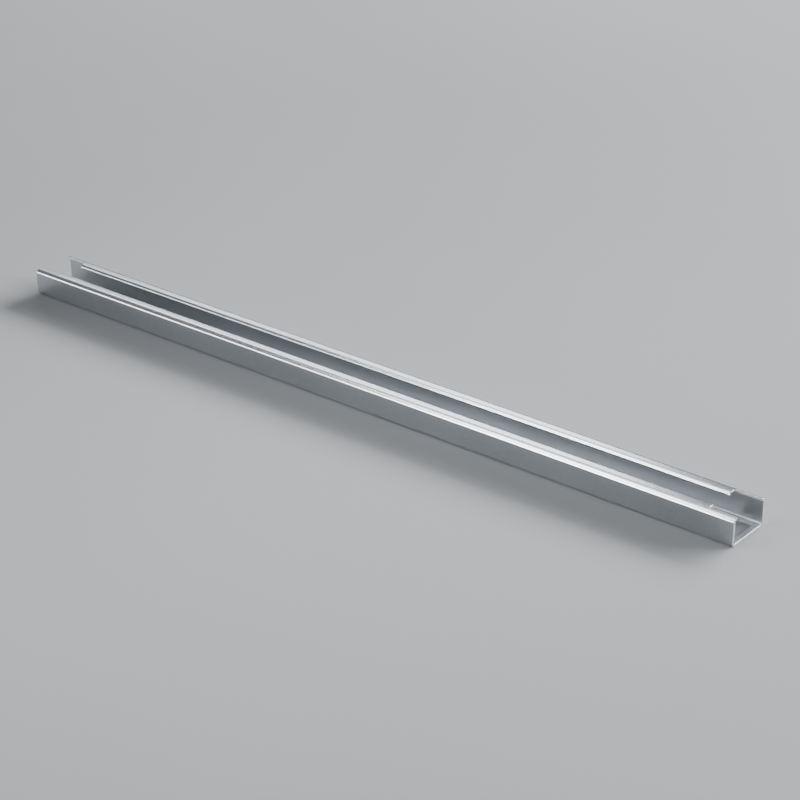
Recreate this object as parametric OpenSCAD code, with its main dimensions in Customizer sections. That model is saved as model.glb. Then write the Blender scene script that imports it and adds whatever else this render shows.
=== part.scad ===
// Support rail: a lipped channel folded from one strip of plated sheet steel.
// The rail runs along X, its slot opens upwards and its underside lies on Z = 0.

/* [Section] */
// Length of the rail, end to end
rail_length = 670; // [200:5:2000]
// Width over the outer faces of the two walls
rail_width = 40; // [36:1:80]
// Height from the underside to the top of the lips
rail_height = 22; // [14:0.5:60]
// Thickness of the sheet
sheet = 2; // [1:0.25:2.5]
// Inside radius of the four long bends between base, walls and lips
bend_radius = 1.5; // [0.5:0.25:2.5]

/* [Lips] */
// Reach of each lip, from the wall's outer face to the face of the slot
lip_reach = 10; // [9:0.5:14]
// Inside radius of the bend that turns the lip's edge down
lip_bend_radius = 0.5; // [0.25:0.25:0.75]
// Straight part of the turned-down edge, below its bend
lip_return = 0.5; // [0.25:0.25:4]

/* [Ends] */
// Length over which both lips are cut away at each end
notch_length = 21.5; // [12:0.5:60]
// Flat strip of lip that stays beside the wall's bend along a notch
notch_margin = 0.25; // [0:0.05:2]
// Radius in the inner corners of the notches
notch_corner = 1; // [0.5:0.25:2.5]
// Size of the fixing window in the base, along the rail
window_length = 16; // [6:0.5:40]
// Size of the fixing window in the base, across the rail
window_width = 26; // [8:0.5:26]
// Strip of base between the fixing window and the end of the rail
window_edge = 4.5; // [2:0.5:40]
// Radius in the corners of the fixing window
window_corner = 1; // [0.5:0.25:2.5]

/* [Hidden] */
$fn = 96;
// How far a cutting shape runs past the face it cuts through
overcut = 1;
// Outside radius of a long bend and of the bend at a lip's edge
bend_outer = bend_radius + sheet;
lip_bend_outer = lip_bend_radius + sheet;
// Depth of the turned-down edge, from the top of the lip
lip_depth = lip_bend_outer + lip_return;
// Half sizes of the section and of its slot
half_width = rail_width / 2;
half_slot = half_width - lip_reach;
half_length = rail_length / 2;
// Half width of the opening that a notch makes between the two walls
half_notch = half_width - bend_outer - notch_margin;

// A quarter ring of sheet in the quadrant of positive X and Y, centred on its bend line
module quarter_bend(inner) {
    intersection() {
        difference() {
            circle(r = inner + sheet);
            circle(r = inner);
        }
        square(inner + sheet);
    }
}

// A flat plan shape with rounded corners, centred on the origin
module rounded_rectangle(size_x, size_y, corner) {
    square([size_x - 2 * corner, size_y], center = true);
    square([size_x, size_y - 2 * corner], center = true);
    for (side_x = [-1, 1], side_y = [-1, 1])
        translate([side_x * (size_x / 2 - corner), side_y * (size_y / 2 - corner)])
            circle(r = corner);
}

// One half of the folded strip: base, bend, wall, bend, lip, bend and turned-down edge
module half_section() {
    // half of the base
    square([half_width - bend_outer, sheet]);
    // bend from the base to the wall
    translate([half_width - bend_outer, bend_outer])
        mirror([0, 1])
            quarter_bend(bend_radius);
    // wall
    translate([half_width - sheet, bend_outer])
        square([sheet, rail_height - 2 * bend_outer]);
    // bend from the wall to the lip
    translate([half_width - bend_outer, rail_height - bend_outer])
        quarter_bend(bend_radius);
    // flat of the lip
    translate([half_slot + lip_bend_outer, rail_height - sheet])
        square([lip_reach - bend_outer - lip_bend_outer, sheet]);
    // bend at the lip's edge
    translate([half_slot + lip_bend_outer, rail_height - lip_bend_outer])
        mirror([1, 0])
            quarter_bend(lip_bend_radius);
    // turned-down edge
    translate([half_slot, rail_height - lip_depth])
        square([sheet, lip_return]);
}

// The whole section: the half strip and its mirror image
module section() {
    half_section();
    mirror([1, 0])
        half_section();
}

// Cuts at the end on the +X side: the lip notch from above and the window in the base
module end_cuts() {
    notch_bottom = rail_height - max(lip_depth, bend_outer) - overcut;
    translate([half_length + overcut - notch_length / 2, 0, notch_bottom])
        linear_extrude(height = rail_height - notch_bottom + overcut)
            rounded_rectangle(notch_length + 2 * overcut, 2 * half_notch, notch_corner);
    translate([half_length - window_edge - window_length / 2, 0, -overcut])
        linear_extrude(height = sheet + 2 * overcut)
            rounded_rectangle(window_length, window_width, window_corner);
}

// The rail: the section carried along X, with both ends cut the same way
module rail() {
    color("silver")
        difference() {
            rotate([90, 0, 90])
                linear_extrude(height = rail_length, center = true)
                    section();
            end_cuts();
            mirror([1, 0, 0])
                end_cuts();
        }
}

rail();
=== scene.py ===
"""Looks of a lipped support rail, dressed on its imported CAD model.

The rail is made the way the real one is: a flat blank of plated sheet with notched corners and two
pierced windows is laid out on a grid, given its thickness, and folded along its bend lines.
"""

import logging
import math
from collections.abc import Mapping, Sequence
from dataclasses import dataclass, field
from enum import Enum, IntEnum
from typing import Any

import bpy
import numpy as np
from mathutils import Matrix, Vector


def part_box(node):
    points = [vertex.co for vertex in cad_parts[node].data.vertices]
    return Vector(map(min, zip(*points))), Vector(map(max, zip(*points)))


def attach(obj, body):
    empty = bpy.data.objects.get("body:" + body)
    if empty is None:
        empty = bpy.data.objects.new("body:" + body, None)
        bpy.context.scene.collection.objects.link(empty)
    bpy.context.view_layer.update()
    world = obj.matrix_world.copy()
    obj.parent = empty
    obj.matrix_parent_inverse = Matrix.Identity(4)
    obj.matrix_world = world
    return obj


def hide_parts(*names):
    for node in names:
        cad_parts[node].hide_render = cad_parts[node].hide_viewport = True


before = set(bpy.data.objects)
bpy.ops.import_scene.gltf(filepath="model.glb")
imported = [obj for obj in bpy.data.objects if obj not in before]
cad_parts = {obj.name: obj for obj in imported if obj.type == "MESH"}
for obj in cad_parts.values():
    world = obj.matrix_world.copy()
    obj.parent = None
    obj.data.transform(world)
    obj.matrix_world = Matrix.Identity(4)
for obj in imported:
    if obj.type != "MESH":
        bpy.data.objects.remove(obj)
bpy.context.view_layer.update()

log = logging.getLogger("support_rail")

Array = np.ndarray
Colour = tuple[float, float, float]
Shade = Colour | bpy.types.NodeSocket
Point = tuple[float, float, float]

MM = 0.001
RAIL_NODE = "rail"
RAIL_BODY = "root"


class Surface(IntEnum):
    """Material slots of the folded sheet."""

    PLATED = 0
    SHEARED = 1


class Mark(Enum):
    """Numbers that the rail's mesh carries at its points."""

    # 0 on the outer layer of the sheet, 1 on the inner layer
    THROUGH = "through"
    # 0 on the flats, 1 in the middle of a bend
    BEND = "bend"


# Shader expressions

# What noise averages to, and the strength that each finer octave of it keeps
NOISE_MEAN = 0.5
OCTAVE_KEEP = 0.55
# Octaves of a soft pattern and of a fine one
SOFT = 2.0
FINE = 3.0


class Pull(Enum):
    """Which way a noise pattern is drawn out, as factors on its coordinates."""

    NONE = (1.0, 1.0, 1.0)
    ALONG_RAIL = (0.012, 1.0, 1.0)


class MixSocket(IntEnum):
    """Numbers of the colour sockets on a Mix node."""

    SHARE = 0
    RESULT = 2
    FIRST = 6
    SECOND = 7


class Value:
    """A number on a socket, so that shader maths reads as a Python expression."""

    def __init__(self, tree: "ShaderTree", socket: bpy.types.NodeSocket) -> None:
        """Wraps a socket.

        Args:
            tree: The tree that new Math nodes go into.
            socket: The output socket that carries the number.
        """
        self.tree = tree
        self.socket = socket

    def _math(self, operation: str, first: "Value | float", second: "Value | float") -> "Value":
        """Adds one Math node.

        Args:
            operation: The Math node's operation.
            first: The left operand.
            second: The right operand.

        Returns:
            The result as a value.
        """
        node = self.tree.node("ShaderNodeMath", {"operation": operation}, {0: first, 1: second})
        return Value(self.tree, node.outputs[0])

    def __add__(self, other: "Value | float") -> "Value":
        """self + other."""
        return self._math("ADD", self, other)

    def __radd__(self, other: float) -> "Value":
        """other + self."""
        return self._math("ADD", other, self)

    def __sub__(self, other: "Value | float") -> "Value":
        """self - other."""
        return self._math("SUBTRACT", self, other)

    def __rsub__(self, other: float) -> "Value":
        """other - self."""
        return self._math("SUBTRACT", other, self)

    def __mul__(self, other: "Value | float") -> "Value":
        """self * other."""
        return self._math("MULTIPLY", self, other)

    def __rmul__(self, other: float) -> "Value":
        """other * self."""
        return self._math("MULTIPLY", other, self)

    def step(self, low: float, high: float) -> "Value":
        """A smooth rise from 0 at low to 1 at high.

        Args:
            low: Where the rise starts.
            high: Where the rise ends.

        Returns:
            The risen value, between 0 and 1.
        """
        node = self.tree.node(
            "ShaderNodeMapRange",
            {"interpolation_type": "SMOOTHSTEP"},
            {"Value": self, "From Min": low, "From Max": high, "To Min": 0.0, "To Max": 1.0},
        )
        return Value(self.tree, node.outputs["Result"])


class ShaderTree:
    """A material's node tree with one way to add a node."""

    def __init__(self, name: str) -> None:
        """Makes a material with an empty node tree.

        Args:
            name: The material's name.
        """
        self.material = bpy.data.materials.new(name)
        self.material.use_nodes = True
        self.nodes = self.material.node_tree.nodes
        self.links = self.material.node_tree.links
        self.nodes.clear()

    def node(
        self, kind: str, settings: Mapping[str, Any], inputs: Mapping[str | int, Any]
    ) -> bpy.types.Node:
        """Adds a node, sets it up and fills its sockets.

        Args:
            kind: The node's type name.
            settings: Attributes of the node, set before its sockets.
            inputs: A number, colour, vector, socket or Value for each named or numbered socket.

        Returns:
            The new node.
        """
        node = self.nodes.new(kind)
        for key, setting in settings.items():
            setattr(node, key, setting)
        for key, given in inputs.items():
            source = given.socket if isinstance(given, Value) else given
            if isinstance(source, bpy.types.NodeSocket):
                self.links.new(source, node.inputs[key])
            else:
                node.inputs[key].default_value = source
        return node

    def object_point(self, stretch: Point) -> bpy.types.NodeSocket:
        """The place on the piece, in metres, scaled along each axis.

        Args:
            stretch: Factors along X, Y and Z.

        Returns:
            A vector socket.
        """
        place = self.node("ShaderNodeTexCoord", {}, {}).outputs["Object"]
        multiply = {"operation": "MULTIPLY"}
        scaled = self.node("ShaderNodeVectorMath", multiply, {0: place, 1: stretch})
        return scaled.outputs["Vector"]

    def noise(self, feature: float, octaves: float, pull: Pull = Pull.NONE) -> Value:
        """Noise with lumps of a given size.

        Args:
            feature: Size of a lump, in metres.
            octaves: How many octaves of finer noise are in it.
            pull: How the pattern is drawn out.

        Returns:
            A value around NOISE_MEAN.
        """
        node = self.node(
            "ShaderNodeTexNoise",
            {"noise_dimensions": "3D"},
            {
                "Vector": self.object_point(pull.value),
                "Scale": 1.0 / feature,
                "Detail": octaves,
                "Roughness": OCTAVE_KEEP,
            },
        )
        return Value(self, node.outputs["Fac"])

    def attribute(self, mark: Mark) -> Value:
        """A number that the mesh carries at its points."""
        node = self.node("ShaderNodeAttribute", {"attribute_name": mark.value}, {})
        return Value(self, node.outputs["Fac"])

    def blend(self, share: Value, low: Shade, high: Shade) -> bpy.types.NodeSocket:
        """A colour between two others.

        Args:
            share: 0 for the first colour, 1 for the second.
            low: The first colour, or a socket that carries it.
            high: The second colour, likewise.

        Returns:
            A colour socket.
        """
        first, second = (
            shade if isinstance(shade, bpy.types.NodeSocket) else (*shade, 1.0)
            for shade in (low, high)
        )
        node = self.node(
            "ShaderNodeMix",
            {"data_type": "RGBA"},
            {MixSocket.SHARE: share, MixSocket.FIRST: first, MixSocket.SECOND: second},
        )
        return node.outputs[MixSocket.RESULT]

    def bump(self, height: Value, depth: float, strength: float) -> bpy.types.NodeSocket:
        """A surface normal with fine relief.

        Args:
            height: Relief from 0 to 1.
            depth: What a height of 1 stands for, in metres.
            strength: Share of the relief that shows.

        Returns:
            A normal socket.
        """
        inputs = {"Strength": strength, "Distance": depth, "Height": height}
        return self.node("ShaderNodeBump", {}, inputs).outputs["Normal"]

    def surface(self, inputs: Mapping[str | int, Any]) -> bpy.types.Material:
        """Ends the tree in one Principled shader.

        Args:
            inputs: Values for the shader's sockets.

        Returns:
            The finished material.
        """
        shader = self.node("ShaderNodeBsdfPrincipled", {}, inputs)
        self.node("ShaderNodeOutputMaterial", {}, {"Surface": shader.outputs["BSDF"]})
        return self.material


# Finishes


@dataclass(frozen=True)
class PlatedFinish:
    """Bright zinc on rolled sheet, with a soft cloud, a fine mottle and grain along the rail.

    A painted highlight lightens the colour on the outside of the bends, and painted shade
    darkens it inside the channel, where the surface is also rougher.
    """

    dull: Colour = (0.54, 0.557, 0.576)
    bright: Colour = (0.63, 0.648, 0.668)
    # painted shade: darker colours for the sheet's inner layer, the faces inside the channel
    inner_shade_dull: Colour = (0.43, 0.445, 0.46)
    inner_shade_bright: Colour = (0.47, 0.485, 0.50)
    dull_below: float = 0.3
    bright_above: float = 0.7
    # painted highlight: a lighter colour that the outside of the bends is blended toward
    bend_highlight: Colour = (0.80, 0.81, 0.82)
    highlight_share: float = 0.8
    roughness: float = 0.22
    roughness_swing: float = 0.08
    bend_polish: float = 0.03
    inner_roughness: float = 0.14
    cloud_size: float = 60 * MM
    cloud_share: float = 0.4
    mottle_size: float = 1.6 * MM
    mottle_share: float = 0.35
    grain_size: float = 0.35 * MM
    grain_share: float = 0.25
    relief: float = 0.012 * MM
    relief_strength: float = 0.35
    grain_relief: float = 0.6
    mottle_relief: float = 0.4

    def material(self) -> bpy.types.Material:
        """Builds the finish as a material.

        Returns:
            The material.
        """
        tree = ShaderTree("bright_zinc")
        cloud = tree.noise(self.cloud_size, SOFT)
        mottle = tree.noise(self.mottle_size, SOFT)
        grain = tree.noise(self.grain_size, FINE, Pull.ALONG_RAIL)
        bend = tree.attribute(Mark.BEND)
        inside = tree.attribute(Mark.THROUGH)
        shade = cloud * self.cloud_share + mottle * self.mottle_share + grain * self.grain_share
        share = shade.step(self.dull_below, self.bright_above)
        thick = tree.blend(share, self.dull, self.bright)
        # painted shade: the inner layer, inside the channel, takes the darker colours
        shaded_inner = tree.blend(share, self.inner_shade_dull, self.inner_shade_bright)
        # painted highlight: the outer layer is lightened toward a paler colour in the middle of
        # each bend
        outside = tree.blend(bend * self.highlight_share, thick, self.bend_highlight)
        # the mean of the two fine patterns, taken about zero
        uneven = (mottle + grain) * 0.5 - NOISE_MEAN
        rolled = self.roughness + uneven * self.roughness_swing
        return tree.surface({
            "Base Color": tree.blend(inside, outside, shaded_inner),
            "Metallic": 1.0,
            "Roughness": rolled - bend * self.bend_polish + inside * self.inner_roughness,
            "Normal": tree.bump(
                grain * self.grain_relief + mottle * self.mottle_relief,
                self.relief,
                self.relief_strength,
            ),
        })


@dataclass(frozen=True)
class ShearedFinish:
    """Cut edge of the sheet: a burnished band next to the outer face, then a torn, duller band."""

    burnished: Colour = (0.80, 0.805, 0.81)
    torn: Colour = (0.68, 0.685, 0.69)
    burnished_roughness: float = 0.30
    torn_roughness: float = 0.5
    burnished_to: float = 0.30
    torn_from: float = 0.42
    raggedness: float = 0.3
    tear_size: float = 0.25 * MM
    relief: float = 0.03 * MM
    relief_strength: float = 0.5

    def material(self) -> bpy.types.Material:
        """Builds the finish as a material.

        Returns:
            The material.
        """
        tree = ShaderTree("sheared_edge")
        tear = tree.noise(self.tear_size, FINE)
        through = tree.attribute(Mark.THROUGH)
        ragged = through + (tear - NOISE_MEAN) * self.raggedness
        torn = ragged.step(self.burnished_to, self.torn_from)
        roughening = self.torn_roughness - self.burnished_roughness
        return tree.surface({
            "Base Color": tree.blend(torn, self.burnished, self.torn),
            "Metallic": 1.0,
            "Roughness": self.burnished_roughness + torn * roughening,
            "Normal": tree.bump(tear * torn, self.relief, self.relief_strength),
        })


@dataclass(frozen=True)
class FloorFinish:
    """Plain pale studio floor with a faint unevenness in its tone and sheen."""

    pale: Colour = (0.328, 0.333, 0.340)
    paler: Colour = (0.352, 0.358, 0.365)
    roughness: float = 0.65
    roughness_swing: float = 0.06
    gloss: float = 0.05
    patch_size: float = 0.4

    def material(self) -> bpy.types.Material:
        """Builds the finish as a material.

        Returns:
            The material.
        """
        tree = ShaderTree("pale_floor")
        patch = tree.noise(self.patch_size, SOFT)
        return tree.surface({
            "Base Color": tree.blend(patch, self.pale, self.paler),
            "Roughness": self.roughness + (patch - NOISE_MEAN) * self.roughness_swing,
            "Specular IOR Level": self.gloss,
        })


# The rail

# Decimals of a metre that the place of a grid line keeps, and the least gap between two lines
PLACE_DECIMALS = 9
LEAST_GAP = 1e-6
# How far past its sides a corner's square still takes in points, as a share of the radius
CORNER_SLACK = 1e-6


class Stretch(IntEnum):
    """Stretches of the half section, in order from the centre of the base."""

    BASE = 0
    FOOT_BEND = 1
    WALL = 2
    SHOULDER_BEND = 3
    LIP = 4
    EDGE_BEND = 5
    EDGE = 6


BENDS = (Stretch.FOOT_BEND, Stretch.SHOULDER_BEND, Stretch.EDGE_BEND)


@dataclass(frozen=True)
class Fold:
    """One stretch of the section's middle line: a straight, or a bend to the left."""

    length: float
    turn: float = 0.0


@dataclass(frozen=True)
class SectionPath:
    """The middle line of half the section, from the centre of the base to the lip's edge."""

    folds: tuple[Fold, ...]
    start_height: float

    @property
    def joints(self) -> Array:
        """Distances along the line at which each stretch begins, and at which the last one ends."""
        return np.concatenate(([0.0], np.cumsum([fold.length for fold in self.folds])))

    def walk(self, along: Array) -> tuple[Array, Array, Array]:
        """Follows the line.

        Each stretch adds its own travel. A straight adds its length along the heading. A bend of
        radius r that has turned by an angle adds r times the change of sine across, and r times
        the change of minus cosine upwards.

        Args:
            along: Distances from the centre of the base.

        Returns:
            The place across the rail, the height and the heading at each distance.
        """
        across = np.zeros_like(along)
        height = np.full_like(along, self.start_height)
        heading = np.zeros_like(along)
        begun = 0.0
        facing = 0.0
        for fold in self.folds:
            travel = np.clip(along - begun, 0.0, fold.length)
            turned = travel / fold.length * fold.turn
            if fold.turn:
                radius = fold.length / fold.turn
                across += radius * (np.sin(facing + turned) - math.sin(facing))
                height += radius * (math.cos(facing) - np.cos(facing + turned))
            else:
                across += travel * math.cos(facing)
                height += travel * math.sin(facing)
            heading += turned
            begun += fold.length
            facing += fold.turn
        return across, height, heading


@dataclass(frozen=True)
class CutCorner:
    """A rounded corner of a cut: its arc's centre on the blank, the way to it, and its radius."""

    along: float
    across: float
    toward_along: int
    toward_across: int
    radius: float

    def rounded(self, along: Array, across: Array) -> tuple[Array, Array, Array]:
        """Lays the square between the corner and its arc's centre into the arc.

        With a and b the distances from the centre as shares of the radius, a becomes
        a * sqrt(1 - b * b / 2) and b becomes b * sqrt(1 - a * a / 2). That lays the square's outer
        edges on the arc and keeps the square's sides through the centre.

        Args:
            along: Places along the rail, from its middle.
            across: Places across the blank, from its centre line.

        Returns:
            Which points are in the square, and the rounded places along and across.
        """
        a = (along - self.along) * self.toward_along / self.radius
        b = (across - self.across) * self.toward_across / self.radius
        least, most = -CORNER_SLACK, 1 + CORNER_SLACK
        inside = (a > least) & (b > least) & (a < most) & (b < most)
        round_a = a * np.sqrt(np.clip(1 - b * b / 2, 0, 1))
        round_b = b * np.sqrt(np.clip(1 - a * a / 2, 0, 1))
        return (
            inside,
            self.along + self.toward_along * self.radius * round_a,
            self.across + self.toward_across * self.radius * round_b,
        )


@dataclass
class SupportRail:
    """The folded rail: its sizes in metres, its mesh and its finishes."""

    length: float
    width: float
    height: float
    sheet: float = 2.0 * MM
    bend_radius: float = 1.5 * MM
    lip_reach: float = 10.0 * MM
    lip_bend_radius: float = 0.5 * MM
    lip_return: float = 0.5 * MM
    notch_length: float = 21.5 * MM
    notch_margin: float = 0.25 * MM
    notch_corner: float = 1.0 * MM
    window_length: float = 16.0 * MM
    window_width: float = 26.0 * MM
    window_edge: float = 4.5 * MM
    window_corner: float = 1.0 * MM
    edge_break: float = 0.22 * MM
    edge_segments: int = 2
    edge_angle_deg: float = 40.0
    face_weight: int = 50
    bend_steps: int = 12
    corner_steps: int = 4
    length_step: float = 16.0 * MM
    plated: PlatedFinish = field(default_factory=PlatedFinish)
    sheared: ShearedFinish = field(default_factory=ShearedFinish)

    @classmethod
    def from_frame(cls) -> "SupportRail":
        """Takes the overall sizes from the CAD rail.

        Returns:
            A rail of the CAD rail's length, width and height.
        """
        low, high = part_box(RAIL_NODE)
        length, width, height = high - low
        return cls(length=length, width=width, height=height)

    @property
    def bend_outer(self) -> float:
        """Outside radius of a long bend."""
        return self.bend_radius + self.sheet

    @property
    def lip_bend_outer(self) -> float:
        """Outside radius of the bend at a lip's edge."""
        return self.lip_bend_radius + self.sheet

    @property
    def path(self) -> SectionPath:
        """The middle line of half the section.

        Returns:
            The line, with one fold for each Stretch.
        """
        quarter = math.pi / 2
        long_bend = Fold(quarter * (self.bend_radius + self.sheet / 2), quarter)
        lip_bend = Fold(quarter * (self.lip_bend_radius + self.sheet / 2), quarter)
        folds = (
            Fold(self.width / 2 - self.bend_outer),
            long_bend,
            Fold(self.height - 2 * self.bend_outer),
            long_bend,
            Fold(self.lip_reach - self.bend_outer - self.lip_bend_outer),
            lip_bend,
            Fold(self.lip_return),
        )
        return SectionPath(folds, self.sheet / 2)

    @property
    def end(self) -> float:
        """Distance from the rail's middle to its end."""
        return self.length / 2

    @property
    def notch_line(self) -> float:
        """Distance on the blank from its centre line to the edge of a notch."""
        return float(self.path.joints[Stretch.LIP]) + self.notch_margin

    def blank_lines(self) -> tuple[Array, Array]:
        """Lays out the grid lines of the flat blank.

        Lines lie on every cut and bend line, are shared evenly inside each bend and each rounded
        corner, and fill the rest of the length at an even step.

        Returns:
            Places of the lines along the rail, and across the blank.
        """
        notch = self.end - self.notch_length
        window_out = self.end - self.window_edge
        window_in = window_out - self.window_length
        corner = np.linspace(0.0, 1.0, self.corner_steps + 1)
        half_along = np.concatenate([
            np.linspace(0.0, notch, round(notch / self.length_step) + 1),
            notch + corner * self.notch_corner,
            window_in + corner * self.window_corner,
            window_out - corner * self.window_corner,
            [self.end],
        ])
        joints = self.path.joints
        bends = [np.linspace(joints[k], joints[k + 1], self.bend_steps + 1) for k in BENDS]
        half_across = np.concatenate([
            joints,
            *bends,
            self.window_width / 2 - corner * self.window_corner,
            self.notch_line + corner * self.notch_corner,
        ])
        return _both_sides(half_along), _both_sides(half_across)

    def round_corners(self, along: Array, across: Array) -> tuple[Array, Array]:
        """Rounds the inner corners of the notches and windows, all four quarters alike.

        Args:
            along: Places along the rail.
            across: Places across the blank.

        Returns:
            The rounded places.
        """
        window_half = self.window_width / 2 - self.window_corner
        window_out = self.end - self.window_edge - self.window_corner
        window_in = self.end - self.window_edge - self.window_length + self.window_corner
        notch_in = self.end - self.notch_length + self.notch_corner
        notch_side = self.notch_line + self.notch_corner
        corners = (
            CutCorner(window_out, window_half, 1, 1, self.window_corner),
            CutCorner(window_in, window_half, -1, 1, self.window_corner),
            CutCorner(notch_in, notch_side, -1, -1, self.notch_corner),
        )
        new_along, new_across = np.abs(along), np.abs(across)
        for corner in corners:
            inside, round_along, round_across = corner.rounded(np.abs(along), np.abs(across))
            new_along = np.where(inside, round_along, new_along)
            new_across = np.where(inside, round_across, new_across)
        return np.copysign(new_along, along), np.copysign(new_across, across)

    def cells(self, along: Array, across: Array) -> Array:
        """Marks the grid cells that hold sheet.

        Args:
            along: Grid lines along the rail.
            across: Grid lines across the blank.

        Returns:
            True for each cell outside the notches and windows.
        """
        from_end = self.end - np.abs(along[:-1] + along[1:])[:, None] / 2
        mid_across = np.abs(across[:-1] + across[1:])[None, :] / 2
        notch = (from_end < self.notch_length) & (mid_across > self.notch_line)
        window_far = self.window_edge + self.window_length
        window = (from_end > self.window_edge) & (from_end < window_far)
        return ~(notch | window & (mid_across < self.window_width / 2))

    def folded(self, along: Array, across: Array) -> tuple[Array, dict[Mark, Array]]:
        """Folds the grid of the blank into the rail.

        A point of the blank at distance s from its centre line lies on the section's middle line
        after s, and half the sheet to either side of it along the line's normal, which is the
        heading turned left by a right angle. The bend mark is the size of the sine of twice the
        heading.

        Args:
            along: Grid lines along the rail.
            across: Grid lines across the blank.

        Returns:
            The points of the outer and the inner layer, and each mark's numbers at the points.
        """
        grid = np.meshgrid(along, across, indexing="ij")
        grid_along, grid_across = self.round_corners(*grid)
        place, rise, heading = self.path.walk(np.abs(grid_across))
        layers = []
        for depth in (-self.sheet / 2, self.sheet / 2):
            side = np.sign(grid_across) * (place - depth * np.sin(heading))
            layers.append(np.stack([grid_along, side, rise + depth * np.cos(heading)], axis=-1))
        points = np.stack(layers)
        layer_marks = np.array([0.0, 1.0])[:, None, None]
        marks = {
            Mark.THROUGH: np.broadcast_to(layer_marks, points.shape[:3]),
            Mark.BEND: np.broadcast_to(np.abs(np.sin(heading * 2)), points.shape[:3]),
        }
        return points, marks

    def build(self) -> bpy.types.Object:
        """Makes the rail's object from the folded blank.

        Returns:
            The rail, with its edges broken and its normals weighted by face.
        """
        along, across = self.blank_lines()
        points, marks = self.folded(along, across)
        quads, surfaces = sheet_faces(self.cells(along, across))
        used, quads = np.unique(quads, return_inverse=True)
        mesh = bpy.data.meshes.new("support_rail")
        mesh.from_pydata(points.reshape(-1, 3)[used], [], quads.reshape(-1, 4))
        mesh.polygons.foreach_set("material_index", surfaces)
        mesh.shade_smooth()
        for mark, numbers in marks.items():
            layer = mesh.attributes.new(mark.value, "FLOAT", "POINT")
            layer.data.foreach_set("value", numbers.reshape(-1)[used].astype(np.float32))
        mesh.update()
        rail = bpy.data.objects.new("support_rail", mesh)
        bpy.context.scene.collection.objects.link(rail)
        broken = rail.modifiers.new("broken_edges", "BEVEL")
        broken.width = self.edge_break
        broken.segments = self.edge_segments
        broken.limit_method = "ANGLE"
        broken.angle_limit = math.radians(self.edge_angle_deg)
        weighted = rail.modifiers.new("even_faces", "WEIGHTED_NORMAL")
        weighted.weight = self.face_weight
        return rail

    def dress(self, rail: bpy.types.Object) -> None:
        """Gives the rail its finishes and puts it in the CAD rail's place.

        Args:
            rail: The rail's object.
        """
        rail.data.materials.append(self.plated.material())
        rail.data.materials.append(self.sheared.material())
        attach(rail, RAIL_BODY)
        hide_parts(RAIL_NODE)


def _both_sides(half: Array) -> Array:
    """Mirrors the places of grid lines about zero.

    Args:
        half: Places on the positive side, in any order.

    Returns:
        Places on both sides in order, with those that lie closer than the least gap merged.
    """
    places = np.unique(np.round(half, PLACE_DECIMALS))
    places = places[np.concatenate(([True], np.diff(places) > LEAST_GAP))]
    return np.unique(np.concatenate([-places, places]))


def sheet_faces(held: Array) -> tuple[Array, Array]:
    """Works out the faces of a sheet with two layers of grid points.

    Each held cell has a face on either layer. Where a held cell meets an empty one, or the edge of
    the grid, a face joins the two layers. A face's corners run so that it looks out of the sheet.

    Args:
        held: For each cell, whether the sheet covers it.

    Returns:
        Four point numbers for each face, and each face's surface.
    """
    rows, columns = held.shape
    count = 2 * (rows + 1) * (columns + 1)
    outer, inner = np.arange(count).reshape(2, rows + 1, columns + 1)
    i, j = np.nonzero(held)
    corners = [(i, j), (i + 1, j), (i + 1, j + 1), (i, j + 1)]
    inner_faces = np.stack([inner[c] for c in corners], axis=-1)
    outer_faces = np.stack([outer[c] for c in reversed(corners)], axis=-1)
    padded = np.pad(held, 1)
    edges = []
    for facing in (-1, 1):
        i, j = np.nonzero(held & ~padded[1 + facing:1 + facing + rows, 1:-1])
        i = i + (facing > 0)
        face = np.stack([outer[i, j], outer[i, j + 1], inner[i, j + 1], inner[i, j]], axis=-1)
        edges.append(face[:, ::facing])
        i, j = np.nonzero(held & ~padded[1:-1, 1 + facing:1 + facing + columns])
        j = j + (facing > 0)
        face = np.stack([outer[i, j], outer[i + 1, j], inner[i + 1, j], inner[i, j]], axis=-1)
        edges.append(face[:, ::-facing])
    cut = np.concatenate(edges)
    plain = np.concatenate([inner_faces, outer_faces])
    surfaces = np.repeat([Surface.PLATED, Surface.SHEARED], [len(plain), len(cut)])
    return np.concatenate([plain, cut]), surfaces.astype(np.int32)


# The studio

RAIL_MIDDLE: Point = (0.0, 0.0, 0.0)
RAIL_RIGHT: Point = (0.25, 0.0, 0.0)
WIDE_BEAM_DEG = 180.0
NARROW_BEAM_DEG = 50.0
IMAGE_SIDE_PX = 800
SENSOR_MM = 36.0
# How far a camera that looks straight down is tipped up to look level
LEVEL_DEG = 90.0


class Tint(Enum):
    """Colours of the studio's light."""

    WHITE = (1.0, 1.0, 1.0)
    FRESH = (0.955, 0.99, 1.025)
    COOL = (0.91, 0.975, 1.05)


@dataclass(frozen=True)
class SoftLight:
    """A rectangular soft light that points at a place on the rail."""

    name: str
    place: Point
    size: tuple[float, float]
    power: float
    tint: Tint
    aim: Point = RAIL_MIDDLE
    beam_deg: float = WIDE_BEAM_DEG

    @classmethod
    def panel(
        cls, name: str, place: Point, size: tuple[float, float], power: float
    ) -> "SoftLight":
        """A small panel with a narrow beam, aimed at the right half of the rail."""
        return cls(name, place, size, power, Tint.FRESH, RAIL_RIGHT, NARROW_BEAM_DEG)

    def add(self) -> None:
        """Puts the light in the scene."""
        lamp = bpy.data.lights.new(self.name, "AREA")
        lamp.shape = "RECTANGLE"
        lamp.size, lamp.size_y = self.size
        lamp.energy = self.power
        lamp.color = self.tint.value
        lamp.spread = math.radians(self.beam_deg)
        light = bpy.data.objects.new(self.name, lamp)
        light.location = self.place
        light.rotation_euler = _looking(np.subtract(self.aim, self.place))
        bpy.context.scene.collection.objects.link(light)


def _looking(toward: Array) -> tuple[float, float, float]:
    """Euler angles that turn an object's -Z axis to a direction, with its X axis level."""
    x, y, z = toward
    return (math.atan2(math.hypot(x, y), -z), 0.0, math.atan2(-x, y))


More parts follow.
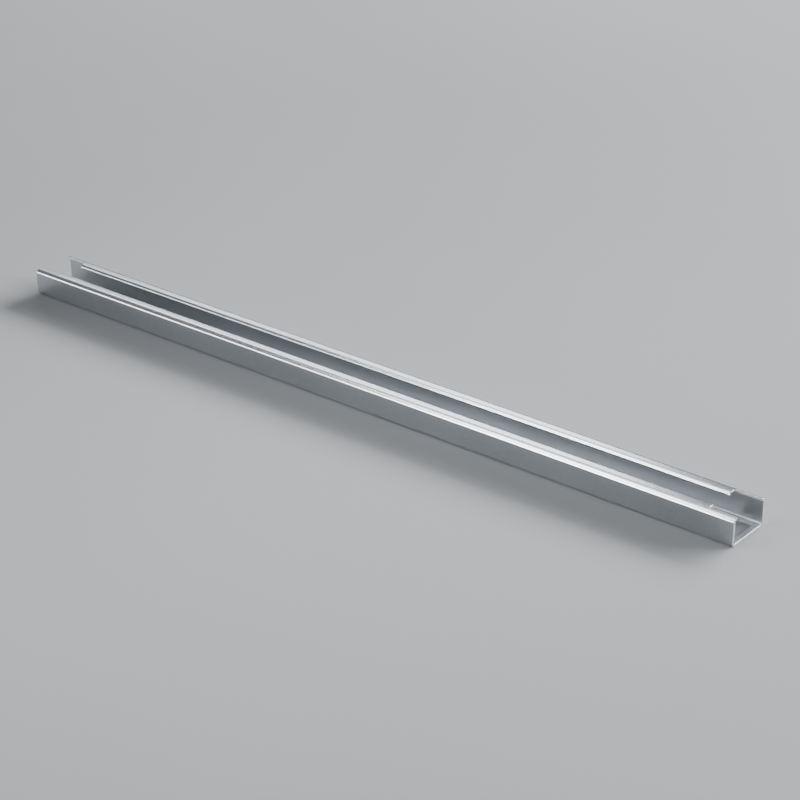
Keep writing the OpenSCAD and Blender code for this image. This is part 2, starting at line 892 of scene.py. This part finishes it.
@dataclass(frozen=True)
class PhotoCamera:
    """The camera that was fitted to the rail's edges in the photograph."""

    eye: Point = (0.95030, -1.12661, 0.72348)
    turn_deg: float = 39.036
    dip_deg: float = 26.219
    focal_px: float = 2180.5
    far_sight: float = 100.0

    def add(self) -> None:
        """Puts the camera in the scene and makes it the scene's own."""
        lens = bpy.data.cameras.new("photo_camera")
        lens.sensor_fit = "HORIZONTAL"
        lens.sensor_width = SENSOR_MM
        lens.lens = self.focal_px / IMAGE_SIDE_PX * SENSOR_MM
        lens.clip_end = self.far_sight
        camera = bpy.data.objects.new("photo_camera", lens)
        camera.location = self.eye
        tilt = math.radians(LEVEL_DEG - self.dip_deg)
        camera.rotation_euler = (tilt, 0.0, math.radians(self.turn_deg))
        bpy.context.scene.collection.objects.link(camera)
        bpy.context.scene.camera = camera


@dataclass
class Studio:
    """The pale floor, the soft lights and the camera."""

    floor_half: float = 12.0
    floor_drop: float = 0.05 * MM
    sky: Colour = (0.80, 0.82, 0.85)
    sky_strength: float = 0.07
    floor: FloorFinish = field(default_factory=FloorFinish)
    camera: PhotoCamera = field(default_factory=PhotoCamera)
    lights: Sequence[SoftLight] = (
        SoftLight("back_middle", (-2.10, 2.30, 1.76), (1.6, 0.5), 17.3, Tint.COOL),
        SoftLight("back_high", (-1.80, 1.92, 2.33), (2.4, 0.5), 9.0, Tint.COOL),
        SoftLight("left_high", (-2.15, 0.70, 2.10), (1.8, 0.9), 1.6, Tint.COOL),
        SoftLight("left_front", (-1.75, -1.05, 1.60), (1.2, 1.6), 0.9, Tint.FRESH),
        SoftLight("key_right", (3.88, 4.14, 2.00), (3.6, 1.6), 610.0, Tint.WHITE),
        SoftLight("key_back", (0.82, 5.48, 2.34), (3.6, 1.6), 780.0, Tint.WHITE),
        SoftLight("left_low", (-3.60, 0.00, 1.10), (2.4, 1.2), 8.0, Tint.FRESH),
        SoftLight("right_low", (3.60, 0.00, 1.10), (2.4, 1.2), 8.0, Tint.FRESH),
        SoftLight("over_all", (0.00, 0.20, 3.50), (2.6, 2.6), 3.5, Tint.FRESH),
        SoftLight.panel("top_back", (-0.60, 0.35, 1.50), (0.45, 0.8), 0.21),
        SoftLight.panel("top_middle", (-0.65, -0.40, 1.45), (0.45, 0.6), 0.36),
        SoftLight.panel("top_front", (-0.60, -0.95, 1.15), (0.45, 0.5), 0.70),
        SoftLight.panel("front_low", (-0.54, -1.26, 0.46), (0.45, 0.35), 0.24),
        SoftLight.panel("front_foot", (-0.54, -1.32, 0.17), (0.45, 0.24), 0.42),
        SoftLight("front_strip", (-1.95, -2.85, 0.28), (2.4, 0.52), 45.0, Tint.FRESH),
    )

    def build(self) -> None:
        """Makes the floor, the sky, the lights and the camera."""
        self.lay_floor()
        self.fill_air()
        for light in self.lights:
            light.add()
        self.camera.add()

    def lay_floor(self) -> None:
        """Makes the floor: a level square just under the rail."""
        side = np.array([-self.floor_half, self.floor_half])
        x, y = np.meshgrid(side, side, indexing="ij")
        points = np.stack([x, y, np.full_like(x, -self.floor_drop)], axis=-1).reshape(-1, 3)
        mesh = bpy.data.meshes.new("studio_floor")
        mesh.from_pydata(points, [], [(0, 2, 3, 1)])
        mesh.materials.append(self.floor.material())
        floor = bpy.data.objects.new("studio_floor", mesh)
        bpy.context.scene.collection.objects.link(floor)

    def fill_air(self) -> None:
        """Gives the scene a faint, even sky."""
        world = bpy.data.worlds.new("studio_air")
        world.use_nodes = True
        air = world.node_tree.nodes["Background"]
        air.inputs["Color"].default_value = (*self.sky, 1.0)
        air.inputs["Strength"].default_value = self.sky_strength
        bpy.context.scene.world = world


def main() -> None:
    """Builds and dresses the rail, then the studio."""
    logging.basicConfig(level=logging.INFO, format="%(name)s: %(message)s")
    maker = SupportRail.from_frame()
    rail = maker.build()
    maker.dress(rail)
    log.info("%s: %d faces before its edges are broken", rail.name, len(rail.data.polygons))
    studio = Studio()
    studio.build()
    log.info("studio: floor, %d lights and camera", len(studio.lights))
    bpy.context.view_layer.update()


if __name__ == "__main__":
    main()
